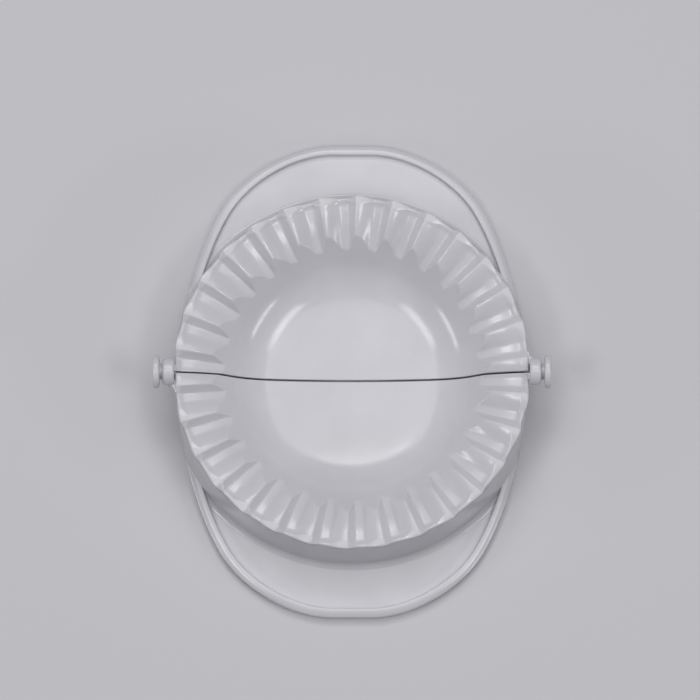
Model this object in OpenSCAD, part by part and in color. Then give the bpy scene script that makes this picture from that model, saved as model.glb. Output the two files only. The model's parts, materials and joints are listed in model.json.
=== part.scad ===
// Hand press for folding and crimping filled dough rounds, lying open on a table.
// Two equal moulded halves turn about one hinge line. The origin is on the table
// under the middle of the hinge line. X runs along the hinge line, +Y points to
// the back half, which folds over, and +Z points up.

/* [Overall] */
// Radius of the crimping ring
ring_r = 53.5; // [46:0.5:64]
// Thickness of every moulded wall
shell_t = 1.8; // [1.2:0.1:2.4]
// Gap between the two halves along the hinge line
split_gap = 0.5; // [0.3:0.1:1]

/* [Bowl] */
// Depth of the bowl's floor below the hinge axis
bowl_depth = 18.3; // [17.5:0.1:24]
// Slope that the bowl's gently dished floor reaches at its edge, in degrees
floor_angle = 12.5; // [4:0.5:14]
// Radius of the curve between the floor and the wall
dish_r = 21; // [14:0.5:25]
// Slope of the bowl's wall, in degrees
wall_angle = 48; // [42:1:50]
// Gap between the bowl's underside and the table
floor_gap = 0.5; // [0:0.1:5]

/* [Crimping ring] */
// Number of pleats round each half
pleats = 15; // [9:1:21]
// Width of the ring, from its edge to the inner end of a pleat's crest
ring_w = 11.5; // [9:0.1:14]
// How far below the hinge axis a crest's inner end meets the bowl's wall
crest_drop = 2.3; // [1.5:0.1:3]
// How much further into the bowl a pleat's foot reaches than its crest
pleat_reach = 3.9; // [2:0.1:5]
// Width of the border that closes the pleats on the outside
border_w = 0.9; // [0.5:0.1:2]
// Width of the slope from a pleat's outer end up to the border
scoop_run = 0.7; // [0.3:0.1:1.5]
// How far the border's middle level lies below the hinge axis
border_drop = 0.3; // [0.2:0.1:1]
// Half of the height by which the border rises and falls with the pleats
border_ripple = 0.7; // [0.1:0.1:0.8]
// Half of the amount by which the ring's outline goes in and out with the pleats
outline_ripple = 0.3; // [0.1:0.1:0.6]
// Extra depth of a pleat's foot at its outer end
scoop_depth = 1.4; // [0.6:0.1:2]
// Share of a pleat's pitch that its steep side takes
steep_share = 0.22; // [0.12:0.02:0.3]
// Share of a pleat's pitch that its flat bottom takes
bottom_share = 0.25; // [0.1:0.05:0.35]

/* [Skirt] */
// How much further out the skirt stands at its foot than at the ring
skirt_draft = 2.5; // [0.5:0.1:4]
// Depth of the flat cut on the ring's two sides, where the hinges sit
flank_cut = 0.4; // [0.2:0.1:0.6]

/* [Tray] */
// How far a tray's end stands out past the ring
tray_reach = 18.7; // [14:0.1:30]
// Width of a tray's end, before its corners are rounded
end_w = 58; // [36:0.5:66]
// Distance from the hinge line to the corner where a tray starts to narrow
shoulder_y = 28; // [20:0.5:44]
// Radius of that shoulder, as far as the sides beside it have room
shoulder_r = 100; // [20:1:120]
// Radius of the corner at a tray's end, as far as the sides beside it have room
corner_r = 39; // [6:0.5:45]
// Width of the raised lip along a tray's edge
lip_w = 2.4; // [1.6:0.1:4]
// Height of the lip above the tray's floor
lip_h = 2; // [1:0.1:4]

/* [Hinge] */
// Radius of a hinge pin
pin_r = 2.4; // [2:0.1:3]
// Clearance all round a pin inside its hook
run_clear = 0.05; // [0.02:0.01:0.1]
// Thickness of a hook round its pin
hook_t = 1.55; // [1.2:0.05:2]
// Width of a hook along the pin
hook_w = 3.5; // [2.5:0.1:5]
// How much narrower than the pin the slot is through which a hook clips over it
clip_grip = 1; // [0.6:0.1:1.4]
// Radius of the curve that spreads a hook's root
flare_r = 2.2; // [1:0.1:2.5]
// How far below the hinge axis the roots of pins and hooks end
root_drop = 0.4; // [0.3:0.1:1]
// Clearance between a hook and the halves beside it
side_clear = 0.3; // [0.2:0.1:0.6]
// Gap between a hook and the end disc of its pin
disc_gap = 0.9; // [0.3:0.1:1.5]
// Radius of an end disc
disc_r = 5; // [4.2:0.1:7]
// Thickness of an end disc
disc_t = 2.1; // [1.5:0.1:4]
// Chamfer round an end disc
disc_chamfer = 0.6; // [0.2:0.1:0.7]

/* [Hidden] */
plastic = "#e8eaee";
plastic_shade = "#d9dce2";

$fn = 180;              // round walls
pin_facets = 64;        // pins, hooks and discs
arc_steps = 10;         // straight steps in a drawn arc
rise_steps = 3;         // steps round a pleat, from its flat bottom up to its crest
pocket_steps = 4;       // steps along a pleat, from the bowl to its outer end
join_margin = 1;        // plain wall between the bowl's edge and the pleats
least_r = 0.2;          // rounding left on a corner that is moved inwards
over = 1;               // how far a cutting shape runs past what it cuts
far = 300;              // longer than the whole part

floor_z = floor_gap + shell_t;                          // upper face of the bowl's floor
hinge_h = floor_z + bowl_depth;                         // hinge axis above the table
flank_x = ring_r - flank_cut;                           // flat sides, square to the hinge axis
crest_r = ring_r - ring_w;                              // inner end of a crest
foot_r = crest_r - pleat_reach;                         // inner end of a foot
join_r = foot_r - join_margin;                          // upright face where bowl and ring meet
border_r = ring_r - border_w;                           // inner edge of the border
pocket_r = border_r - scoop_run;                        // outer end of the pleats
skirt_foot_r = ring_r + skirt_draft;                    // outside of the skirt at the tray
pocket_drop = border_drop + border_ripple + scoop_depth;    // deepest outer end of a pleat
seat_z = hinge_h - pocket_drop - shell_t;               // level where ring and skirt meet
wall_drop = shell_t / cos(wall_angle);                  // wall thickness, measured straight down
hook_r = pin_r + run_clear + hook_t;                    // outside of a hook
slot_w = 2 * pin_r - clip_grip;                         // slot through which a hook clips on
disc_x = flank_x + side_clear + hook_w + disc_gap;      // inner face of an end disc

// Height of the sloping wall's surface at a radius, down from a crest's inner end
function wall_z(r) = hinge_h - crest_drop - (crest_r - r) * tan(wall_angle);
// Width and height of the curve, from the floor's edge to the foot of the wall
curve_run = dish_r * (sin(wall_angle) - sin(floor_angle));
curve_rise = dish_r * (cos(floor_angle) - cos(wall_angle));
// Radius and height of the floor's edge, so that floor, curve and wall run smoothly on
floor_r = ((crest_r - curve_run) * tan(wall_angle) + curve_rise + crest_drop - bowl_depth)
          / (tan(wall_angle) - tan(floor_angle / 2));
floor_edge_z = floor_z + floor_r * tan(floor_angle / 2);

// Everything on the back half's side of the hinge line
module back_side() {
    translate([-far / 2, split_gap / 2, -far / 2]) cube(far);
}

// Everything between the flat sides
module between_flanks() {
    translate([-flank_x, -far / 2, -far / 2]) cube([2 * flank_x, far, far]);
}

// ---- Bowl: nearly flat floor, curved dish and sloping wall, one wall thick ----

// An arc that leaves start at slope a1 and ends at slope a2, moved outwards by t
function arc_line(start, radius, a1, a2, t) = let (centre = start + radius * [-sin(a1), cos(a1)])
    [for (i = [1 : arc_steps]) let (a = a1 + (a2 - a1) * i / arc_steps)
        centre + (radius + t) * [sin(a), -cos(a)]];

// Points of the bowl's upper surface (t = 0) or of its underside (t = shell_t), up the
// wall to the height of the crests
function bowl_line(t) = concat(
    [[0, floor_z - t]],
    arc_line([0, floor_z], floor_r / sin(floor_angle), 0, floor_angle, t),
    arc_line([floor_r, floor_edge_z], dish_r, floor_angle, wall_angle, t),
    [[crest_r, wall_z(crest_r) - t / cos(wall_angle)]]
);

function reversed(list) = [for (i = [len(list) - 1 : -1 : 0]) list[i]];

module bowl() {
    color(plastic) intersection() {
        rotate_extrude(angle = 360) polygon(concat(bowl_line(0), reversed(bowl_line(shell_t))));
        cylinder(h = far, r = join_r);
        back_side();
    }
}

// ---- Crimping ring: saw-tooth pleats that mesh when the press is folded ----
// Going round by angle, each pleat drops steeply from its crest to a flat bottom and
// then rises gently to the next crest. The same form on both halves meshes, because
// turning a half over puts every crest above the bottom of a pleat.

// One column of the ring is [angle, height within the pleat], and that height runs
// from -1 at the bottom to 1 at the crest. The steep sides lie half a pitch off the
// hinge line, and the ring runs past the half turn, so that the cut along the
// hinge line leaves clean edges.
pitch = 180 / pleats;
bottom_start = steep_share / 2;
bottom_end = bottom_start + bottom_share;
rise_share = 1 - steep_share / 2 - bottom_end;
pleat_marks = concat([[bottom_start, -1]],
    [for (i = [0 : rise_steps]) [bottom_end + rise_share * i / rise_steps, 2 * i / rise_steps - 1]]);
columns = [for (k = [-1 : pleats], m = pleat_marks) [pitch * (k + 0.5 + m[0]), m[1]]];

// Rows of a column's upper surface, from the bowl outwards: the wall, the scooped
// pleat, its closed outer end and the border. A row is [radius, height].
function edge_r(s) = foot_r + (crest_r - foot_r) * (1 + s) / 2;
function border_z(s) = hinge_h - border_drop + border_ripple * s;
function pocket_end_z(s) = border_z(s) - scoop_depth * (1 - s) / 2;
function pocket_row(s, i) = let (t = i / pocket_steps, r = edge_r(s) + (pocket_r - edge_r(s)) * t)
    [r, wall_z(edge_r(s)) + (pocket_end_z(s) - wall_z(edge_r(s))) * sin(90 * t)];
function top_line(s) = [
    [join_r, wall_z(join_r)],
    for (i = [0 : pocket_steps]) pocket_row(s, i),
    [border_r, border_z(s)],
    [ring_r + outline_ripple * s, border_z(s)]
];
rows = len(top_line(0));

// The underside follows one wall thickness below, and is flat where the skirt meets it
function below(p) = [p[0], min(wall_z(p[0]) - wall_drop, p[1] - shell_t)];
function under_line(s) = [
    for (i = [0 : pocket_steps]) below(top_line(s)[i]),
    [ring_r - shell_t, seat_z],
    [ring_r - shell_t / 2, seat_z],
    [ring_r, seat_z]
];

function around(p, angle) = [p[0] * cos(angle), p[0] * sin(angle), p[1]];
top_points = [for (c = columns, p = top_line(c[1])) around(p, c[0])];
under_points = [for (c = columns, p = under_line(c[1])) around(p, c[0])];
under = len(top_points);      // index of the first point of the underside

function quad(a, b, c, d) = [[a, b, c], [a, c, d]];
function flip(faces) = [for (f = faces) [f[2], f[1], f[0]]];
last = len(columns) - 1;
ring_faces = [
    for (c = [0 : last - 1], i = [0 : rows - 2]) let (a = c * rows + i, b = a + rows)
        each concat(quad(a, b, b + 1, a + 1), flip(quad(under + a, under + b, under + b + 1, under + a + 1))),
    for (c = [0 : last - 1]) let (a = c * rows, b = a + rows, e = a + rows - 1, f = e + rows)
        each concat(quad(under + a, under + b, b, a), quad(e, f, under + f, under + e)),
    for (i = [0 : rows - 2]) let (a = i, b = last * rows + i)
        each concat(quad(a, a + 1, under + a + 1, under + a), flip(quad(b, b + 1, under + b + 1, under + b)))
];

module crimp_rim() {
    color(plastic) intersection() {
        polyhedron(concat(top_points, under_points), ring_faces);
        back_side();
        between_flanks();
    }
}

// ---- Outline of a tray, which the skirt's sides follow too ----

// Unit vector from a to b, and the vector a quarter turn to its left
function unit(a, b) = (b - a) / norm(b - a);
function left_of(d) = [-d[1], d[0]];

shoulder = [flank_x, shoulder_y];
end_corner = [end_w / 2, ring_r + tray_reach];
slant = unit(shoulder, end_corner);

// Length that a rounded corner between the directions d1 and d2 takes from its two sides
function corner_run(d1, d2, r) = r * tan(acos(d1 * d2) / 2);
shoulder_run = corner_run([0, 1], slant, shoulder_r);
end_run = corner_run(slant, [-1, 0], corner_r);
// Share of both radii for which the sides beside the corners have room
round_fit = min(1, shoulder_y / shoulder_run, norm(end_corner - shoulder) / (shoulder_run + end_run),
                end_corner[0] / end_run);

// A corner p between the directions d1 and d2, moved inwards and rounded
function round_corner(p, d1, d2, inset, r) = let (
    n1 = left_of(d1), n2 = left_of(d2),
    q = p + inset * (n1 + n2) / (1 + n1 * n2),
    turn = acos(d1 * d2), radius = max(r - inset, least_r),
    start = q - d1 * radius * tan(turn / 2),
    centre = start + n1 * radius
) [for (i = [0 : arc_steps]) let (a = turn * i / arc_steps)
    centre - n1 * radius * cos(a) + d1 * radius * sin(a)];

// Right edge of a tray, from just past the hinge line to its end
function right_edge(inset) = concat(
    [[flank_x - inset, -over]],
    round_corner(shoulder, [0, 1], slant, inset, shoulder_r * round_fit),
    round_corner(end_corner, slant, [-1, 0], inset, corner_r * round_fit)
);
function tray_outline(inset) = let (edge = right_edge(inset))
    concat(edge, [for (p = reversed(edge)) [-p[0], p[1]]]);

// Everything above and below the outline, drawn in by an inset
module outline_block(inset) {
    translate([0, 0, -over]) linear_extrude(height = far) polygon(tray_outline(inset));
}

// ---- Skirt: the wall that carries the ring on the tray ----

module skirt_cone(inset) {
    intersection() {
        translate([0, 0, shell_t])
            cylinder(h = seat_z - shell_t, r1 = skirt_foot_r - inset, r2 = ring_r - inset);
        outline_block(inset);
    }
}

module skirt() {
    color(plastic_shade) intersection() {
        difference() {
            skirt_cone(0);
            skirt_cone(shell_t);
        }
        back_side();
    }
}

// ---- Tray: the flat plate that rests on the table and is gripped to press ----

// The space inside the skirt, carried down through the plate
module skirt_hollow() {
    intersection() {
        translate([0, 0, -over]) cylinder(h = shell_t + 2 * over, r = skirt_foot_r - shell_t);
        outline_block(shell_t);
    }
}

module tray() {
    color(plastic_shade) intersection() {
        union() {
            difference() {
                linear_extrude(height = shell_t) polygon(tray_outline(0));
                skirt_hollow();
            }
            difference() {
                linear_extrude(height = shell_t + lip_h) polygon(tray_outline(0));
                outline_block(lip_w);
                translate([0, 0, shell_t])
                    cylinder(h = seat_z - shell_t, r1 = skirt_foot_r, r2 = ring_r);
                skirt_hollow();
            }
        }
        back_side();
    }
}

// ---- Hinge: a pin with an end disc on one side, a hook that clips over a pin on the other ----

// Turns a piece drawn upwards along Z so that it runs outwards along the hinge axis
module on_axis(x) {
    translate([x, 0, hinge_h]) rotate([0, 90, 0]) children();
}

// The part of a hinge root that ties it to its own half: below the hinge axis only
module own_corner(width) {
    intersection() {
        translate([flank_x, split_gap / 2, hinge_h - hook_r]) cube([width, far, hook_r - root_drop]);
        children();
    }
}

module hook_root() {
    translate([0, 0, hinge_h - hook_r]) linear_extrude(height = hook_r - root_drop) polygon(concat(
        [[flank_x, split_gap / 2]],
        [for (i = [0 : arc_steps]) let (a = 180 + 90 * i / arc_steps)
            [flank_x + flare_r + flare_r * cos(a), hook_r + flare_r + flare_r * sin(a)]],
        [[flank_x + flare_r, split_gap / 2]]
    ));
}

module hinge_hook() {
    color(plastic) difference() {
        union() {
            on_axis(flank_x + side_clear) cylinder(h = hook_w, r = hook_r, $fn = pin_facets);
            hook_root();
        }
        on_axis(flank_x - over)
            cylinder(h = disc_x - flank_x + over, r = pin_r + run_clear, $fn = pin_facets);
        // The slot opens downwards, towards the other half
        translate([flank_x - over, 0, hinge_h]) rotate([225, 0, 0])
            translate([0, 0, -slot_w / 2]) cube([disc_x - flank_x + over, far, slot_w]);
    }
}

module hinge_pin() {
    color(plastic) mirror([1, 0, 0]) union() {
        own_corner(side_clear) on_axis(flank_x) cylinder(h = side_clear, r = pin_r, $fn = pin_facets);
        on_axis(flank_x + side_clear)
            cylinder(h = disc_x - flank_x - side_clear, r = pin_r, $fn = pin_facets);
        on_axis(disc_x) rotate_extrude($fn = pin_facets) polygon([
            [0, 0], [disc_r - disc_chamfer, 0], [disc_r, disc_chamfer],
            [disc_r, disc_t - disc_chamfer], [disc_r - disc_chamfer, disc_t], [0, disc_t]
        ]);
    }
}

// ---- The front half is the back half turned half a turn about Z ----

module front() {
    rotate([0, 0, 180]) children();
}

front() bowl();  // front_bowl
front() crimp_rim();  // front_crimp_rim
front() skirt();  // front_skirt
front() tray();  // front_tray
front() hinge_pin();  // front_hinge_pin
front() hinge_hook();  // front_hinge_hook
bowl();  // back_bowl
crimp_rim();  // back_crimp_rim
skirt();  // back_skirt
tray();  // back_tray
hinge_pin();  // back_hinge_pin
hinge_hook();  // back_hinge_hook
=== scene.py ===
# %% [markdown]
# # A hand press for filled dough rounds, in glossy white plastic
# The real thing is two equal injection mouldings, clipped together at one hinge line and
# lying open. Each has a shallow half bowl, a ring of saw-tooth pleats, a skirt that carries
# the ring, and a flat tray that rests on the table. We could colour in the construction
# model, but its edges are sharp and its pleats are flat facets. So every region is modelled
# again here, in the same place, with the soft edges that a mould gives.

# %% Load the construction model as a fixed frame
import json
import math

import bmesh
import bpy
from mathutils import Matrix, Vector


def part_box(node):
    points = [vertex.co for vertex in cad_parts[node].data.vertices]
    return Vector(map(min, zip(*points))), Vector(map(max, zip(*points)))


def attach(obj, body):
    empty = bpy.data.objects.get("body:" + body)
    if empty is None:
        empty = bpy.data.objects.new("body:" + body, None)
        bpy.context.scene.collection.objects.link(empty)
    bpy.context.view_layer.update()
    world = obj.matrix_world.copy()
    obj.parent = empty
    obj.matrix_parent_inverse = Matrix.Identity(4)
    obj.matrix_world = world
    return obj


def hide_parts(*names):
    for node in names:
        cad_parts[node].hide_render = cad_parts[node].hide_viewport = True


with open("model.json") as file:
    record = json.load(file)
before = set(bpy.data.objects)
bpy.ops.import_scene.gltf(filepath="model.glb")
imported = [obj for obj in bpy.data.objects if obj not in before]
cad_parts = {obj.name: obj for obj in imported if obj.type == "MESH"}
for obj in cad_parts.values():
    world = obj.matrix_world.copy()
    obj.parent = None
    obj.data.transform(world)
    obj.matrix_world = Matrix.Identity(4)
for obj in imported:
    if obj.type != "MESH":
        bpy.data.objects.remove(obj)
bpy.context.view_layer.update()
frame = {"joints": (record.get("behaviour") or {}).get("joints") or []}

MM = 0.001

# %% [markdown]
# ## The sizes that the pieces share
# The outer sizes are read from the frame, so that a change to the construction model moves
# the looks with it. Sizes that no box can give, such as a slope, are written once, here or
# beside the piece that needs them.

# %% Read the outer sizes from the frame
tray_low, tray_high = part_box("back_tray")
skirt_low, skirt_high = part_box("back_skirt")
bowl_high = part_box("back_bowl")[1]
hook_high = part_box("back_hinge_hook")[1]
pin_low, pin_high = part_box("back_hinge_pin")

HINGE_H = frame["joints"][0]["pos_m"][2]
SPLIT = tray_low.y                  # each half starts this far from the hinge line
FLANK = tray_high.x                 # flat sides, square to the hinge line
SEAT_Z = skirt_high.z               # level where the ring sits on the skirt
PLATE_T = skirt_low.z               # thickness of the tray's plate
JOIN_R = math.hypot(bowl_high.x, SPLIT)  # radius where the bowl ends and the ring starts
print(f"hinge {HINGE_H / MM:.1f} mm up, flat sides at {FLANK / MM:.1f} mm, seat at {SEAT_Z / MM:.1f} mm")

# %% Write the sizes that a box can't give
WALL_T = 1.8 * MM                   # every moulded wall
RING_R = 53.5 * MM                  # edge of the crimping ring
CREST_R = RING_R - 11.5 * MM        # inner end of a pleat's crest
FOOT_R = CREST_R - 3.9 * MM         # inner end of a pleat's foot
WALL_ANGLE = math.radians(48)       # slope of the bowl's wall
FLOOR_ANGLE = math.radians(12.5)    # slope at the edge of the dished floor
DISH_R = 21 * MM                    # curve between floor and wall
FLOOR_Z = HINGE_H - 18.3 * MM       # the bowl's lowest point
WALL_TOP_Z = HINGE_H - 2.3 * MM     # height of the wall where a crest starts


def wall_z(r):
    """Height of the bowl's sloping wall at a radius."""
    return WALL_TOP_Z - (CREST_R - r) * math.tan(WALL_ANGLE)


def arc(centre, radius, start, end, steps):
    """Points on an arc of a flat outline, with its angles in degrees."""
    turns = [math.radians(start + (end - start) * i / steps) for i in range(steps + 1)]
    return [(centre[0] + radius * math.cos(a), centre[1] + radius * math.sin(a)) for a in turns]


print(f"the wall meets the ring {wall_z(JOIN_R) / MM:.2f} mm up, at radius {JOIN_R / MM:.1f} mm")

# %% [markdown]
# ## The camera
# The photo was taken from almost straight above and far away, a little from the front: the
# ring stands about three millimetres higher in the picture than the trays under it. A long
# lens two and a half metres away gives the same view: from nearer by, the front tray would
# look longer than the back one. Matching the ends of the trays, the split line, the ring
# and the hinge discs fixed the tilt.

# %% Place the camera
CAMERA_DISTANCE = 2.5
CAMERA_TILT = math.radians(80.8)            # 90 degrees would be straight down
AIM = Vector((-0.57 * MM, 9.9 * MM, 0))

camera_data = bpy.data.cameras.new("camera")
camera_data.sensor_width = 36
camera_data.lens = 424.2
camera = bpy.data.objects.new("camera", camera_data)
bpy.context.scene.collection.objects.link(camera)
camera.location = AIM + CAMERA_DISTANCE * Vector((0, -math.cos(CAMERA_TILT), math.sin(CAMERA_TILT)))
camera.rotation_euler = (math.pi / 2 - CAMERA_TILT, 0, 0)
bpy.context.scene.camera = camera
print("camera at", [round(c, 3) for c in camera.location])

# %% [markdown]
# ## White moulded polypropylene
# Such a press is white polypropylene, injection moulded in a polished steel mould. The eye
# sees a clean, slightly bluish white with a soft gloss: sharp highlights on the rounded
# edges, and broad ones in the dish. Close up there are slow clouds of tone, a waviness where
# the plastic shrank, patches that handling has dulled, and a fine skin. A picture wrapped
# round the piece could show all that, but would need unwrapping. Noise on Object coordinates
# keeps its real size and stays put on the piece without it.

# %% Helpers for colours and nodes


def linear(hex_colour):
    """Turns an sRGB hex colour into the linear colour that Blender works in."""
    parts = [int(hex_colour[i:i + 2], 16) / 255 for i in (1, 3, 5)]
    return [c / 12.92 if c <= 0.04045 else ((c + 0.055) / 1.055) ** 2.4 for c in parts] + [1]


def add_node(tree, kind, settings=None, links=None):
    """Adds a node. Settings with a number or a name of an input go to that input."""
    node = tree.nodes.new(kind)
    for name, value in (settings or {}).items():
        if name in node.inputs:
            node.inputs[name].default_value = value
        else:
            setattr(node, name, value)
    for name, source in (links or {}).items():
        tree.links.new(source, node.inputs[name])
    return node


def new_material(name):
    """An empty node material with its output and its one shader."""
    material = bpy.data.materials.new(name)
    material.use_nodes = True
    tree = material.node_tree
    tree.nodes.clear()
    shader = add_node(tree, "ShaderNodeBsdfPrincipled")
    add_node(tree, "ShaderNodeOutputMaterial", links={"Surface": shader.outputs[0]})
    return material, tree, shader


print("mid grey in linear light:", round(linear("#808080")[0], 3))

# %% Make the plastic
PER_MM = 1000                       # a noise scale counts per metre, and this is one per millimetre


def white_polypropylene():
    """Glossy white moulded plastic."""
    material, tree, shader = new_material("white_moulded_polypropylene")
    place = add_node(tree, "ShaderNodeTexCoord").outputs["Object"]

    def noise(size_mm, detail, rough=0.5):
        settings = {"Scale": PER_MM / size_mm, "Detail": detail, "Roughness": rough}
        return add_node(tree, "ShaderNodeTexNoise", settings, {"Vector": place}).outputs["Fac"]

    # Slow clouds of tone, 14 mm across, where the pigment and the cooling differ
    tone = add_node(tree, "ShaderNodeValToRGB", links={"Fac": noise(14, 3)})
    tone.color_ramp.elements[0].position = 0.3
    tone.color_ramp.elements[0].color = linear("#C9C8CE")
    tone.color_ramp.elements[1].position = 0.7
    tone.color_ramp.elements[1].color = linear("#CFCED4")
    tree.links.new(tone.outputs["Color"], shader.inputs["Base Color"])

    # Gloss of a polished mould, duller in patches 6 mm across where it was handled
    gloss = add_node(tree, "ShaderNodeMapRange", {"To Min": 0.10, "To Max": 0.22},
                     {"Value": noise(6, 4)})
    tree.links.new(gloss.outputs["Result"], shader.inputs["Roughness"])

    # Shrinkage waves 9 mm long, under a fine skin of 0.7 mm
    waves = add_node(tree, "ShaderNodeBump", {"Strength": 0.22, "Distance": 0.12 * MM},
                     {"Height": noise(9, 1)})
    skin = add_node(tree, "ShaderNodeBump", {"Strength": 0.10, "Distance": 0.02 * MM},
                    {"Height": noise(0.7, 2), "Normal": waves.outputs["Normal"]})
    tree.links.new(skin.outputs["Normal"], shader.inputs["Normal"])

    shader.inputs["IOR"].default_value = 1.49
    shader.inputs["Metallic"].default_value = 0
    return material


plastic = white_polypropylene()
print("made", plastic.name)

# %% [markdown]
# ## How every piece is finished
# The two halves come from one mould, so each piece is modelled once for the back half. The
# front one is the same mesh turned half a turn about the vertical, which also puts its hook
# and its pin on the other sides.
#
# A mould never leaves a knife edge. A bevel would catch on the many small faces of a spun
# shell, so the cut along the hinge line is softened another way: a few extra cuts are made
# just beside it, and what lies there is pulled back along a quarter circle.

# %% Helpers that finish a mesh
SOFT_STEPS = 4
CUT_ROUND = 0.3 * MM                # rounding of the edges along the hinge line
TOUCHING = 1e-7                     # points nearer than this are one point, in metres


def cut_soft(bm, point, normal, radius):
    """Cuts off what lies beyond a plane, and rounds and closes the edge that this leaves."""
    point, normal = Vector(point), Vector(normal).normalized()
    for i in range(SOFT_STEPS + 1):
        inset = radius * (1 - math.sin(math.pi / 2 * i / SOFT_STEPS))
        geom = bm.verts[:] + bm.edges[:] + bm.faces[:]
        cut = bmesh.ops.bisect_plane(bm, geom=geom, dist=TOUCHING, plane_co=point - normal * inset,
                                     plane_no=normal, clear_outer=(i == SOFT_STEPS))
    edges = [e for e in cut["geom_cut"] if isinstance(e, bmesh.types.BMEdge)]
    bm.normal_update()
    pulls = []
    for vert in bm.verts:
        depth = (point - vert.co).dot(normal)
        if depth < radius * 0.999:
            level = vert.normal - normal * vert.normal.dot(normal)
            drop = radius - math.sqrt(max(radius ** 2 - (radius - depth) ** 2, 0))
            pulls.append((vert, level.normalized() * drop))
    for vert, pull in pulls:
        vert.co -= pull
    bmesh.ops.holes_fill(bm, edges=edges, sides=0)


def mesh_object(name, bm, sharp_angle=40):
    """Turns a bmesh into an object with smooth shading, except across sharp edges."""
    mesh = bpy.data.meshes.new(name)
    bmesh.ops.recalc_face_normals(bm, faces=bm.faces[:])
    bm.to_mesh(mesh)
    bm.free()
    mesh.shade_smooth()
    mesh.set_sharp_from_angle(angle=math.radians(sharp_angle))
    piece = bpy.data.objects.new(name, mesh)
    bpy.context.scene.collection.objects.link(piece)
    return piece


def finish_pair(piece, node, finish):
    """Puts the back half's piece on its body, and adds its turned copy for the front half."""
    piece.data.materials.append(finish)
    turned = bpy.data.objects.new("front_" + piece.name, piece.data.copy())
    turned.data.transform(Matrix.Rotation(math.pi, 4, "Z"))
    bpy.context.scene.collection.objects.link(turned)
    piece.name = "back_" + piece.name
    for half, which in (("back", piece), ("front", turned)):
        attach(which, f"{half}_half")
        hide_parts(f"{half}_{node}")
    low, high = Vector(piece.bound_box[0]), Vector(piece.bound_box[6])
    size = [round(c / MM, 1) for c in high - low]
    print(f"{piece.name}: {len(piece.data.polygons)} faces, {size} mm")


print(f"the edge of a cut is rounded by {CUT_ROUND / MM:.1f} mm in {SOFT_STEPS} steps")

# %% [markdown]
# ## The bowl
# The dough and its filling lie here. The floor is very slightly dished, a curve of 21 mm
# radius takes it up, and a straight wall of 48 degrees runs on into the pleats. A sphere
# pressed flat would have no straight wall. Instead the section is drawn as a turner would:
# one point is swung round two centres to make the two arcs, the line is spun round the
# vertical, and the surface is given its wall thickness.

# %% Spin the bowl
CURVE_RUN = DISH_R * (math.sin(WALL_ANGLE) - math.sin(FLOOR_ANGLE))
CURVE_RISE = DISH_R * (math.cos(FLOOR_ANGLE) - math.cos(WALL_ANGLE))
FLOOR_R = (((CREST_R - CURVE_RUN) * math.tan(WALL_ANGLE) + CURVE_RISE + FLOOR_Z - WALL_TOP_Z)
           / (math.tan(WALL_ANGLE) - math.tan(FLOOR_ANGLE / 2)))
FLOOR_CURVE_R = FLOOR_R / math.sin(FLOOR_ANGLE)
TURN_STEPS = 200                    # steps in the half turn
FLOOR_STEPS = 16
CURVE_STEPS = 20


def swing(bm, vert, centre, angle, steps):
    """Swings a point about the Y direction and returns the arc's last point."""
    swung = bmesh.ops.spin(bm, geom=[vert], cent=centre, axis=(0, -1, 0), angle=angle,
                           steps=steps, dvec=(0, 0, 0), use_duplicate=False)
    return next(v for v in swung["geom_last"] if isinstance(v, bmesh.types.BMVert))


def bowl_section(bm):
    """The line from the bowl's middle, over floor and curve, up the wall to the ring."""
    middle = bm.verts.new((0, 0, FLOOR_Z))
    edge = swing(bm, middle, (0, 0, FLOOR_Z + FLOOR_CURVE_R), FLOOR_ANGLE, FLOOR_STEPS)
    up = Vector((-math.sin(FLOOR_ANGLE), 0, math.cos(FLOOR_ANGLE)))
    foot = swing(bm, edge, edge.co + DISH_R * up, WALL_ANGLE - FLOOR_ANGLE, CURVE_STEPS)
    top = bmesh.ops.extrude_vert_indiv(bm, verts=[foot])["verts"][0]
    top.co = (JOIN_R, 0, wall_z(JOIN_R))


def bowl_shell():
    """Half of the bowl, one wall thick."""
    bm = bmesh.new()
    bowl_section(bm)
    bmesh.ops.spin(bm, geom=bm.verts[:] + bm.edges[:], cent=(0, 0, 0), axis=(0, 0, 1),
                   angle=math.pi, steps=TURN_STEPS, dvec=(0, 0, 0), use_duplicate=False)
    bmesh.ops.remove_doubles(bm, verts=bm.verts[:], dist=TOUCHING)
    bmesh.ops.recalc_face_normals(bm, faces=bm.faces[:])
    if sum(f.normal.z for f in bm.faces) < 0:
        bmesh.ops.reverse_faces(bm, faces=bm.faces[:])
    bmesh.ops.solidify(bm, geom=bm.faces[:], thickness=WALL_T)
    cut_soft(bm, (0, SPLIT, 0), (0, -1, 0), CUT_ROUND)
    return mesh_object("bowl_shell", bm)


finish_pair(bowl_shell(), "bowl", plastic)

# %% [markdown]
# ## The pleated crimping ring
# Folding the press shut pushes these pleats into each other with the dough between them.
# Going round, each pleat drops steeply from its crest to a nearly flat bottom and rises again
# to the next crest. Towards the bowl the pleats run out on the sloping wall, which cuts their
# ends to a saw-tooth, and outside a small scoop closes them with a border. Carving that out
# of a ring would need a cut for each pleat. Bending is simpler: a flat grid has one column
# for each angle and one row for each point of the ring's section, and every column is laid
# along the section that belongs to its height within the pleat.

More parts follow.
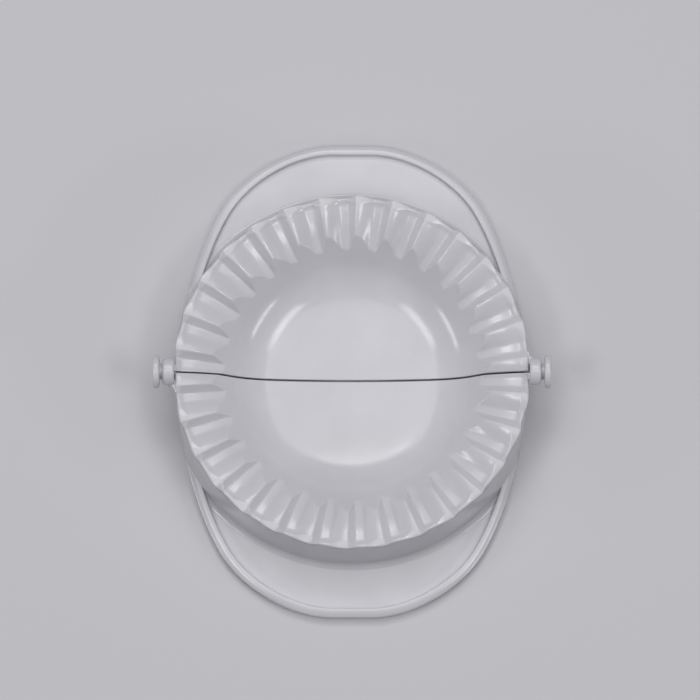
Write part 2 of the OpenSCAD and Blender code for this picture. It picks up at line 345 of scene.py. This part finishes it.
# %% Describe one pleat
PLEATS = 15
PITCH = math.pi / PLEATS
STEEP_HALF = 0.11                   # half the steep side, as a share of the pitch
BEND = 0.36                         # where the bottom turns up to the next crest
BEND_LEVEL = -0.75                  # the bottom has risen a little by then
BORDER_R = RING_R - 0.9 * MM        # inner edge of the border
POCKET_R = BORDER_R - 1.4 * MM      # outer end of the pleats
BORDER_DROP = 0.3 * MM
BORDER_RIPPLE = 0.7 * MM
OUTLINE_RIPPLE = 0.3 * MM
SCOOP_DEPTH = 0.9 * MM
BOTTOM_FILLET = 0.30                # fillets and rounding, as shares of half a pleat's height
RISE_FILLET = 0.12
CREST_ROUNDING = 0.25


def smooth_max(a, b, k):
    """The larger of two heights, with a fillet where they cross."""
    h = max(k - abs(a - b), 0) / k
    return max(a, b) + h * h * k / 4


def smooth_min(a, b, k):
    """The smaller of two heights, with a rounded edge where they cross."""
    return -smooth_max(-a, -b, k)


def tooth(angle):
    """Height within the pleat, from -1 at its bottom to 1 at its crest."""
    u = (angle / PITCH - 0.5) % 1
    drop = -u / STEEP_HALF
    floor = -1 + (1 + BEND_LEVEL) * (u - STEEP_HALF) / (BEND - STEEP_HALF)
    along = min(max((u - BEND) / (1 - STEEP_HALF - BEND), -1), 1)
    rise = BEND_LEVEL + (1 - BEND_LEVEL) * math.sin(math.pi / 2 * along)
    next_drop = (1 - u) / STEEP_HALF
    bottom = smooth_max(smooth_max(drop, floor, BOTTOM_FILLET), rise, RISE_FILLET)
    return smooth_min(bottom, next_drop, CREST_ROUNDING)


print("pleat heights round one pitch:", [round(tooth(PITCH * (0.5 + i / 8)), 2) for i in range(8)])

# %% Describe the ring's section at one height within the pleat
ROUND_R = 0.5 * MM                  # rounding of the border's outer edge
BORDER_ROUND = 0.25 * MM            # and of its inner edge
SCOOP_FILLET = 0.30 * MM            # where the scoop's end rises from the pleat
WALL_ROUND = 0.30 * MM              # where the bowl's wall turns into the pleat
PAST_EDGE = -0.2                    # a pleat's line is also used this far inside its inner end
SCOOP_LEAD = 0.35 * MM              # the rows crowd from this far before the scoop's end
WALL_ROWS, PLEAT_ROWS, SCOOP_ROWS, EDGE_ROWS, SIDE_ROWS, UNDER_ROWS = 6, 20, 12, 6, 7, 8


def spread(start, end, steps, ease):
    """Values from start up to, but without, end. The ease says where they bunch up."""
    return [start + (end - start) * ease(i / steps) for i in range(steps)]


def late(t):
    """Bunches values up towards the end."""
    return 1 - (1 - t) ** 2


def both(t):
    """Bunches values up at both ends."""
    return t * t * (3 - 2 * t)


def evenly(t):
    """Leaves values evenly spaced."""
    return t


def section(s, limit):
    """Closed outline of the ring as [radius, height], from the bowl outwards and back below.

    Nothing passes the limit, which is the radius where the flat side cuts the ring off.
    """
    edge = FOOT_R + (CREST_R - FOOT_R) * (1 + s) / 2
    border = HINGE_H - BORDER_DROP + BORDER_RIPPLE * s
    pocket = border - SCOOP_DEPTH * (1 - s) / 2

    def top(r):
        """The upper surface: the wall, the scooped pleat, its closed end and the border."""
        along = min(max((r - edge) / (POCKET_R - edge), PAST_EDGE), 1)
        climb = (along + math.sin(math.pi / 2 * along)) / 2
        pleat = wall_z(edge) + (pocket - wall_z(edge)) * climb
        slope = pocket + (r - POCKET_R) / (BORDER_R - POCKET_R) * SCOOP_DEPTH
        closed = smooth_min(slope, border, BORDER_ROUND)
        return smooth_min(wall_z(r), smooth_max(pleat, closed, SCOOP_FILLET), WALL_ROUND)

    outer = min(RING_R + OUTLINE_RIPPLE * s, limit)
    foot = min(RING_R, limit)
    scoop_start = POCKET_R - SCOOP_LEAD
    radii = spread(JOIN_R, edge, WALL_ROWS, late) + spread(edge, scoop_start, PLEAT_ROWS, both)
    radii += spread(scoop_start, outer - ROUND_R, SCOOP_ROWS, evenly)
    line = [(r, top(r)) for r in radii]
    line += arc((outer - ROUND_R, border - ROUND_R), ROUND_R, 90, 0, EDGE_ROWS)[:-1]
    side_top = border - ROUND_R
    for t in spread(0, 1, SIDE_ROWS, evenly):
        line.append((outer + (foot - outer) * t, side_top + (SEAT_Z - side_top) * t))
    line += [(foot, SEAT_Z), (RING_R - WALL_T, SEAT_Z)]
    low_r = JOIN_R + WALL_T * math.sin(WALL_ANGLE)
    low_z = wall_z(JOIN_R) - WALL_T * math.cos(WALL_ANGLE)
    for r in spread(RING_R - 2 * WALL_T, low_r, UNDER_ROWS, evenly):
        under_wall = wall_z(r) - WALL_T / math.cos(WALL_ANGLE)
        line.append((r, min(under_wall, top(r) - WALL_T)))
    return line + [(low_r, low_z), (JOIN_R, wall_z(JOIN_R))]


print("points in the ring's section:", len(section(0, RING_R)))

# %% Bend a grid into the ring
COLUMNS_PER_PLEAT = 36
MARGIN = 0.2                        # of a pitch, past the hinge line at both ends
CROWDING = 0.62                     # 0 would space the columns evenly, and 1 most unevenly
LEAST_COSINE = 0.5                  # farther round than this, the flat side is well outside the ring


def column_angle(share):
    """Angle of a column, closer together round the steep sides."""
    u = (PLEATS + 2 * MARGIN) * share - MARGIN - 0.5
    return PITCH * (0.5 + u - CROWDING * math.sin(2 * math.pi * u) / (2 * math.pi))


def crimp_ring():
    """The ring of one half, with its border, its outer side and its hollow underside."""
    columns = round(COLUMNS_PER_PLEAT * (PLEATS + 2 * MARGIN))
    angles = [column_angle(i / columns) for i in range(columns + 1)]
    limits = [FLANK / max(abs(math.cos(angle)), LEAST_COSINE) for angle in angles]
    sections = [section(tooth(angle), limit) for angle, limit in zip(angles, limits)]
    rows = len(sections[0]) - 1
    bm = bmesh.new()
    bmesh.ops.create_grid(bm, x_segments=columns, y_segments=rows, size=0.5)
    for vert in bm.verts:
        i, j = round((vert.co.x + 0.5) * columns), round((vert.co.y + 0.5) * rows)
        r, z = sections[i][j]
        vert.co = (r * math.cos(angles[i]), r * math.sin(angles[i]), z)
    bmesh.ops.remove_doubles(bm, verts=bm.verts[:], dist=TOUCHING)
    bmesh.ops.recalc_face_normals(bm, faces=bm.faces[:])
    cut_soft(bm, (0, SPLIT, 0), (0, -1, 0), CUT_ROUND)
    return mesh_object("crimp_ring", bm)


finish_pair(crimp_ring(), "crimp_rim", plastic)

# %% [markdown]
# ## The skirt
# A moulded wall carries the ring. It leans out towards its foot by the draft that lets the
# moulding leave its mould, and a fillet ties it to the tray. On the two sides it is flat,
# because the hinges sit there, and flush with the tray's edge. It is made as a carpenter
# would make a hollow plinth: a solid block is spun, its sides are cut to the tray's
# outline, and a smaller block of the same form is taken out of it. So the outline comes
# first: a face with eight corners, whose bevelled corners take large radii.

# %% Draw the tray's outline
TRAY_END_Y = tray_high.y
END_HALF = 29 * MM                  # half of the tray's end, before its corners are rounded
SHOULDER_Y = 28 * MM
SHOULDER_R = 100 * MM
CORNER_R = 39 * MM
CORNER_STEPS = 24
FAR = 40 * MM                       # well above the whole press


def round_corners(bm, verts, radius):
    """Rounds corners of a flat face. The bevel's offset runs along the sides from a corner."""
    for vert in verts:
        sides = [(e.other_vert(vert).co - vert.co).normalized() for e in vert.link_edges]
        half_turn = (math.pi - sides[0].angle(sides[1])) / 2
        bmesh.ops.bevel(bm, geom=[vert], offset=radius * math.tan(half_turn), offset_type="OFFSET",
                        segments=CORNER_STEPS, profile=0.5, affect="VERTICES", material=-1)


def tray_outline():
    """Outline of both trays in one, so that nothing is drawn in along the hinge line."""
    bm = bmesh.new()
    right = [(FLANK, SHOULDER_Y), (END_HALF, TRAY_END_Y)]
    corners = right + [(-x, y) for x, y in reversed(right)]
    corners += [(-x, -y) for x, y in corners]
    verts = [bm.verts.new((x, y, 0)) for x, y in corners]
    bm.faces.new(verts)
    bm.normal_update()
    shoulders = [v for v in verts if abs(v.co.y) < TRAY_END_Y - MM]
    round_corners(bm, shoulders, SHOULDER_R)
    ends = [v for v in bm.verts if abs(v.co.y) > TRAY_END_Y - MM / 2]
    round_corners(bm, ends, CORNER_R)
    return bm


def outline_block(inset):
    """A block of the tray's outline, drawn in by an inset, from below the table upwards."""
    bm = tray_outline()
    if inset:
        rim = bmesh.ops.inset_region(bm, faces=bm.faces[:], thickness=inset, depth=0,
                                     use_even_offset=True, use_boundary=True)
        bmesh.ops.delete(bm, geom=rim["faces"], context="FACES")
    bmesh.ops.translate(bm, verts=bm.verts[:], vec=(0, 0, -MM))
    up = bmesh.ops.extrude_face_region(bm, geom=bm.faces[:])
    verts = [v for v in up["geom"] if isinstance(v, bmesh.types.BMVert)]
    bmesh.ops.translate(bm, verts=verts, vec=(0, 0, FAR))
    bmesh.ops.recalc_face_normals(bm, faces=bm.faces[:])
    return bm


print("points in the rounded outline:", len(tray_outline().verts))

# %% Helpers that spin a block and cut one piece with another


def spun_block(line):
    """A line of [radius, height] points spun once round the vertical axis, as a solid."""
    bm = bmesh.new()
    verts = [bm.verts.new((r, 0, z)) for r, z in line]
    for a, b in zip(verts, verts[1:]):
        bm.edges.new((a, b))
    bmesh.ops.spin(bm, geom=bm.verts[:] + bm.edges[:], cent=(0, 0, 0), axis=(0, 0, 1),
                   angle=2 * math.pi, steps=2 * TURN_STEPS, dvec=(0, 0, 0), use_merge=True)
    bmesh.ops.remove_doubles(bm, verts=bm.verts[:], dist=TOUCHING)
    bmesh.ops.recalc_face_normals(bm, faces=bm.faces[:])
    return bm


def combine(bm, other, operation):
    """Joins or cuts one closed bmesh with another, and returns the result."""
    body, tool = mesh_object("body", bm), mesh_object("tool", other)
    step = body.modifiers.new("combine", "BOOLEAN")
    step.operation = operation
    step.solver = "EXACT"
    step.object = tool
    bpy.context.view_layer.update()
    result = bmesh.new()
    result.from_mesh(body.evaluated_get(bpy.context.evaluated_depsgraph_get()).data)
    bpy.data.objects.remove(body)
    bpy.data.objects.remove(tool)
    return result


print("steps in a spun block:", 2 * TURN_STEPS)

# %% Make the skirt
SKIRT_FOOT_R = skirt_high.y         # outside of the skirt at the tray
FILLET_R = 2 * MM
SINK = 0.4 * MM                     # the fillet's thin edge ends inside the plate, below the lip's groove
FILLET_STEPS = 8


def skirt_line():
    """Outside of the skirt, from the ring's seat down its draft and out along the fillet."""
    draft = math.atan2(SKIRT_FOOT_R - RING_R, SEAT_Z - PLATE_T)
    centre_r = SKIRT_FOOT_R + FILLET_R / math.cos(draft) - FILLET_R * math.tan(draft)
    line = [(0, SEAT_Z), (RING_R, SEAT_Z)]
    line += arc((centre_r, PLATE_T + FILLET_R), FILLET_R, 180 + math.degrees(draft), 270, FILLET_STEPS)
    return line + [(line[-1][0] + SINK, PLATE_T - SINK), (0, PLATE_T - SINK)]


def skirt_wall():
    """The skirt of one half."""
    outer = combine(spun_block(skirt_line()), outline_block(0), "INTERSECT")
    inner_line = [(0, SEAT_Z + MM), (RING_R - WALL_T, SEAT_Z + MM), (RING_R - WALL_T, SEAT_Z),
                  (SKIRT_FOOT_R - WALL_T, PLATE_T - SINK), (SKIRT_FOOT_R - WALL_T, -MM), (0, -MM)]
    inner = combine(spun_block(inner_line), outline_block(WALL_T), "INTERSECT")
    bm = combine(outer, inner, "DIFFERENCE")
    cut_soft(bm, (0, SPLIT, 0), (0, -1, 0), CUT_ROUND)
    return mesh_object("skirt_wall", bm)


finish_pair(skirt_wall(), "skirt", plastic)

# %% [markdown]
# ## The tray
# The flat tray is what rests on the table and what a hand presses on. A raised lip runs
# along its edge, which a finger can catch: outside it bulges gently up from the edge, and
# inside it drops steeply to a shallow groove, from which a gentle slope leads up to the
# tray's floor. The outline's face is extruded, and small insets with a rise or a fall draw
# that profile all the way round.

# %% Raise the tray's lip
LIP_Z = tray_high.z
LIP_CREST = 2.4 * MM                # from the tray's edge in to the lip's highest line
LIP_CURVE = 3.8 * MM                # radius of the lip's outer bulge
EDGE_ROUND = 0.5 * MM
CREST_ROUND = 0.4 * MM
GROOVE_Z = 1.65 * MM
GROOVE_ROUND = 0.3 * MM
SHELF_IN = 5.8 * MM                 # from the tray's edge in to where its floor starts
WALL_LEAN = 4                       # of the lip's steep inner side, in degrees
SHELF_TILT = 4                      # of the slope from the groove to the floor, in degrees
LIP_STEPS = 5


def lip_profile():
    """The lip as steps of [how far in, how far up], from the outside to the tray's floor."""
    centre_z = LIP_Z - LIP_CURVE
    across = LIP_CREST - EDGE_ROUND
    up = math.sqrt((LIP_CURVE - EDGE_ROUND) ** 2 - across ** 2)
    meet = math.degrees(math.atan2(up, -across))
    points = arc((EDGE_ROUND, centre_z + up), EDGE_ROUND, 180, meet, LIP_STEPS)
    points += arc((LIP_CREST, centre_z), LIP_CURVE, meet, 90, LIP_STEPS)[1:]
    points += arc((LIP_CREST, LIP_Z - CREST_ROUND), CREST_ROUND, 90, WALL_LEAN, LIP_STEPS)[1:]
    lean = math.radians(WALL_LEAN)
    wall_in, wall_up = points[-1]
    wall_run = (wall_up - GROOVE_Z - GROOVE_ROUND * (1 - math.sin(lean))) * math.tan(lean)
    groove = (wall_in + wall_run + GROOVE_ROUND * math.cos(lean), GROOVE_Z + GROOVE_ROUND)
    points += arc(groove, GROOVE_ROUND, 180 + WALL_LEAN, 270 + SHELF_TILT, LIP_STEPS)
    return points + [(SHELF_IN, PLATE_T)]


print("points in the lip's profile:", len(lip_profile()))

# %% Make the tray
BEHIND = 0.05 * MM                  # the plate's hollow lies this far behind the skirt's inner face


def tray_plate():
    """The tray of one half, with its lip, cut out where the skirt stands on it."""
    bm = tray_outline()
    top = bmesh.ops.extrude_face_region(bm, geom=bm.faces[:])
    profile = lip_profile()
    verts = [v for v in top["geom"] if isinstance(v, bmesh.types.BMVert)]
    bmesh.ops.translate(bm, verts=verts, vec=(0, 0, profile[0][1]))
    face = [f for f in top["geom"] if isinstance(f, bmesh.types.BMFace)]
    for (in_0, up_0), (in_1, up_1) in zip(profile, profile[1:]):
        bmesh.ops.inset_region(bm, faces=face, thickness=in_1 - in_0, depth=0, use_even_offset=True,
                               use_boundary=True)
        bmesh.ops.translate(bm, verts=face[0].verts[:], vec=(0, 0, up_1 - up_0))
    hollow_r = SKIRT_FOOT_R - WALL_T + BEHIND
    hollow = spun_block([(0, FAR), (hollow_r, FAR), (hollow_r, -MM), (0, -MM)])
    bm = combine(bm, combine(hollow, outline_block(WALL_T - BEHIND), "INTERSECT"), "DIFFERENCE")
    stand = spun_block([(0, FAR), (RING_R, FAR), (RING_R, SEAT_Z), (SKIRT_FOOT_R, PLATE_T),
                        (0, PLATE_T)])
    bm = combine(bm, stand, "DIFFERENCE")
    cut_soft(bm, (0, SPLIT, 0), (0, -1, 0), CUT_ROUND)
    return mesh_object("tray_plate", bm)


finish_pair(tray_plate(), "tray", plastic)

# %% [markdown]
# ## The hinge
# One side of each half has a pin with a round end disc, and the other a hook with a slot
# that clips over the other half's pin. Both are turned or cut from simple solids: the pin's
# profile is spun about the hinge line, and the hook is a short round bar with a flared root,
# bored for the pin and slotted. The slot is guessed, because the hook hides it.

# %% Write the pin's sizes and the helpers that turn and join
PIN_R = 2.4 * MM
DISC_R = pin_high.z - HINGE_H
DISC_OUT = -pin_low.x
DISC_T = 2.1 * MM
DISC_IN = DISC_OUT - DISC_T
DISC_ROUND = 0.8 * MM
DISC_STEPS = 6
SIDE_CLEAR = 0.3 * MM               # between a half's flat side and the other half's hook
ROOT_DROP = 0.4 * MM                # the roots end this far below the hinge line
ROOT_TOP_Z = HINGE_H - ROOT_DROP
ROOT_ROUND = 0.2 * MM
BAR_STEPS = 72                      # steps in a full turn about the hinge line


def turned_bar(line):
    """A solid turned about the hinge line from [distance along X, radius] points."""
    bm = bmesh.new()
    verts = [bm.verts.new((x, 0, HINGE_H + r)) for x, r in line]
    for a, b in zip(verts, verts[1:]):
        bm.edges.new((a, b))
    bmesh.ops.spin(bm, geom=bm.verts[:] + bm.edges[:], cent=(0, 0, HINGE_H), axis=(1, 0, 0),
                   angle=2 * math.pi, steps=BAR_STEPS, dvec=(0, 0, 0), use_merge=True)
    bmesh.ops.remove_doubles(bm, verts=bm.verts[:], dist=TOUCHING)
    bmesh.ops.recalc_face_normals(bm, faces=bm.faces[:])
    return bm


def join(bm, other):
    """Adds another bmesh's shape beside the first, without merging them."""
    mesh = bpy.data.meshes.new("joined")
    other.to_mesh(mesh)
    other.free()
    bm.from_mesh(mesh)
    bpy.data.meshes.remove(mesh)


print(f"end disc: {2 * DISC_R / MM:.1f} mm across, {DISC_T / MM:.1f} mm thick")

# %% Make the pin and its disc


def hinge_pin():
    """The pin of the back half with its end disc, on the left, and the root that holds it."""
    line = [(FLANK + SIDE_CLEAR, 0), (FLANK + SIDE_CLEAR, PIN_R), (DISC_IN, PIN_R)]
    line += arc((DISC_IN + DISC_ROUND, DISC_R - DISC_ROUND), DISC_ROUND, 180, 90, DISC_STEPS)
    line += arc((DISC_OUT - DISC_ROUND, DISC_R - DISC_ROUND), DISC_ROUND, 90, 0, DISC_STEPS)
    line += [(DISC_OUT, 0)]
    bm = turned_bar(line)
    root = turned_bar([(FLANK - SIDE_CLEAR, 0), (FLANK - SIDE_CLEAR, PIN_R),
                       (FLANK + 2 * SIDE_CLEAR, PIN_R), (FLANK + 2 * SIDE_CLEAR, 0)])
    cut_soft(root, (0, 0, ROOT_TOP_Z), (0, 0, 1), ROOT_ROUND)
    cut_soft(root, (0, SPLIT, 0), (0, -1, 0), ROOT_ROUND)
    join(bm, root)
    bmesh.ops.scale(bm, verts=bm.verts[:], vec=(-1, 1, 1))
    return mesh_object("hinge_pin_disc", bm)


finish_pair(hinge_pin(), "hinge_pin", plastic)

# %% Make the hook
HOOK_R = hook_high.z - HINGE_H
HOOK_END_X = hook_high.x
HOOK_ROUND = 0.8 * MM
HOOK_STEPS = 4
FLARE_R = 2.2 * MM                  # curve that spreads the hook's root on the flat side
FLARE_STEPS = 10
RUN_CLEAR = 0.05 * MM               # between the pin and the hook that turns on it
BORE_R = PIN_R + RUN_CLEAR
CLIP_GRIP = 1 * MM                  # the slot is this much narrower than the pin, so it clips on
SLOT_W = 2 * PIN_R - CLIP_GRIP
SLOT_REACH = 10 * MM                # well past the hook
SLOT_TURN = math.radians(225)       # from +Y: downwards, towards the other half
BORE_PAST = 2 * MM                  # how far the bore runs past the hook


def hook_root():
    """The block that ties the hook to its half, with a flare on its outer side."""
    bm = bmesh.new()
    line = [(FLANK - SIDE_CLEAR, SPLIT), (FLANK + FLARE_R, SPLIT)]
    line += arc((FLANK + FLARE_R, HOOK_R + FLARE_R), FLARE_R, 270, 180, FLARE_STEPS)
    line += [(FLANK - SIDE_CLEAR, HOOK_R + FLARE_R)]
    face = bm.faces.new([bm.verts.new((x, y, HINGE_H - HOOK_R)) for x, y in line])
    up = bmesh.ops.extrude_face_region(bm, geom=[face])
    verts = [v for v in up["geom"] if isinstance(v, bmesh.types.BMVert)]
    bmesh.ops.translate(bm, verts=verts, vec=(0, 0, ROOT_TOP_Z - HINGE_H + HOOK_R))
    bmesh.ops.recalc_face_normals(bm, faces=bm.faces[:])
    return bm


def hook_slot():
    """A bar that cuts the slot, downwards and towards the other half."""
    bm = bmesh.new()
    bmesh.ops.create_cube(bm, size=1)
    bmesh.ops.scale(bm, verts=bm.verts[:], vec=(2 * SLOT_REACH, SLOT_REACH, SLOT_W))
    bmesh.ops.translate(bm, verts=bm.verts[:], vec=(0, SLOT_REACH / 2, 0))
    bmesh.ops.rotate(bm, verts=bm.verts[:], matrix=Matrix.Rotation(SLOT_TURN, 3, "X"))
    bmesh.ops.translate(bm, verts=bm.verts[:], vec=(FLANK, 0, HINGE_H))
    return bm


def hinge_hook():
    """The hook of the back half, on its right."""
    start = FLANK + SIDE_CLEAR
    line = [(start, 0)] + arc((start + HOOK_ROUND, HOOK_R - HOOK_ROUND), HOOK_ROUND, 180, 90, HOOK_STEPS)
    line += arc((HOOK_END_X - HOOK_ROUND, HOOK_R - HOOK_ROUND), HOOK_ROUND, 90, 0, HOOK_STEPS)
    line += [(HOOK_END_X, 0)]
    bm = combine(turned_bar(line), hook_root(), "UNION")
    ends = (FLANK - BORE_PAST, HOOK_END_X + BORE_PAST)
    bore = [(ends[0], 0), (ends[0], BORE_R), (ends[1], BORE_R), (ends[1], 0)]
    bm = combine(bm, turned_bar(bore), "DIFFERENCE")
    bm = combine(bm, hook_slot(), "DIFFERENCE")
    return mesh_object("hinge_hook_clip", bm)


finish_pair(hinge_hook(), "hinge_hook", plastic)

# %% [markdown]
# ## Floor and light
# The press lies on a plain pale table under a large, soft light above and a little behind
# it, as in the photo: flat surfaces are the brightest, and every slope is darker by how far
# it leans, most of all where it faces the front. Two brighter lamps at the front left and
# right draw the crescents at the edge of the dish and the gleams on the pleats. A weak one
# behind lightens the edges, and two low strips draw the thin outer streaks in the dish.

# %% Add the floor


def table_paint():
    """Matt pale grey paint on a board, with the very fine unevenness of a roller."""
    material, tree, shader = new_material("matt_table_paint")
    place = add_node(tree, "ShaderNodeTexCoord").outputs["Object"]
    grain = add_node(tree, "ShaderNodeTexNoise", {"Scale": PER_MM / 1.5, "Detail": 3}, {"Vector": place})
    bump = add_node(tree, "ShaderNodeBump", {"Strength": 0.05, "Distance": 0.05 * MM},
                    {"Height": grain.outputs["Fac"]})
    tree.links.new(bump.outputs["Normal"], shader.inputs["Normal"])
    shader.inputs["Base Color"].default_value = linear("#C8C8CC")
    shader.inputs["Roughness"].default_value = 0.8
    return material


FLOOR_SIZE = 3.0
bm = bmesh.new()
bmesh.ops.create_grid(bm, x_segments=1, y_segments=1, size=FLOOR_SIZE / 2)
floor = mesh_object("table", bm)
floor.data.materials.append(table_paint())
print("floor:", FLOOR_SIZE, "m square")

# %% Add the lights
PRESS_MIDDLE = Vector((0, 0, 10 * MM))


def area_light(name, place, size, power):
    """A rectangular lamp that faces the middle of the press."""
    data = bpy.data.lights.new(name, "AREA")
    data.shape = "RECTANGLE"
    data.size, data.size_y = size
    data.energy = power
    lamp = bpy.data.objects.new(name, data)
    bpy.context.scene.collection.objects.link(lamp)
    lamp.location = place
    lamp.rotation_euler = (PRESS_MIDDLE - Vector(place)).to_track_quat("-Z", "Y").to_euler()


area_light("overhead_softbox", (0, 0.3, 1.2), (1.5, 1.3), 10.8)
area_light("back_light", (-0.1, 0.75, 1.1), (0.7, 0.2), 1.4)
area_light("left_lamp", (-0.52, -0.25, 1.0), (0.4, 0.2), 1.6)
area_light("right_lamp", (0.52, -0.25, 1.0), (0.4, 0.2), 1.6)
area_light("left_strip", (-0.9, -0.3, 0.34), (0.4, 0.08), 1.0)
area_light("right_strip", (0.85, -0.42, 0.42), (0.4, 0.08), 1.0)

world = bpy.data.worlds.new("studio")
world.use_nodes = True
background = world.node_tree.nodes["Background"]
background.inputs["Color"].default_value = linear("#F2F2F2")
background.inputs["Strength"].default_value = 0.05
bpy.context.scene.world = world
bpy.context.scene.view_settings.view_transform = "Standard"
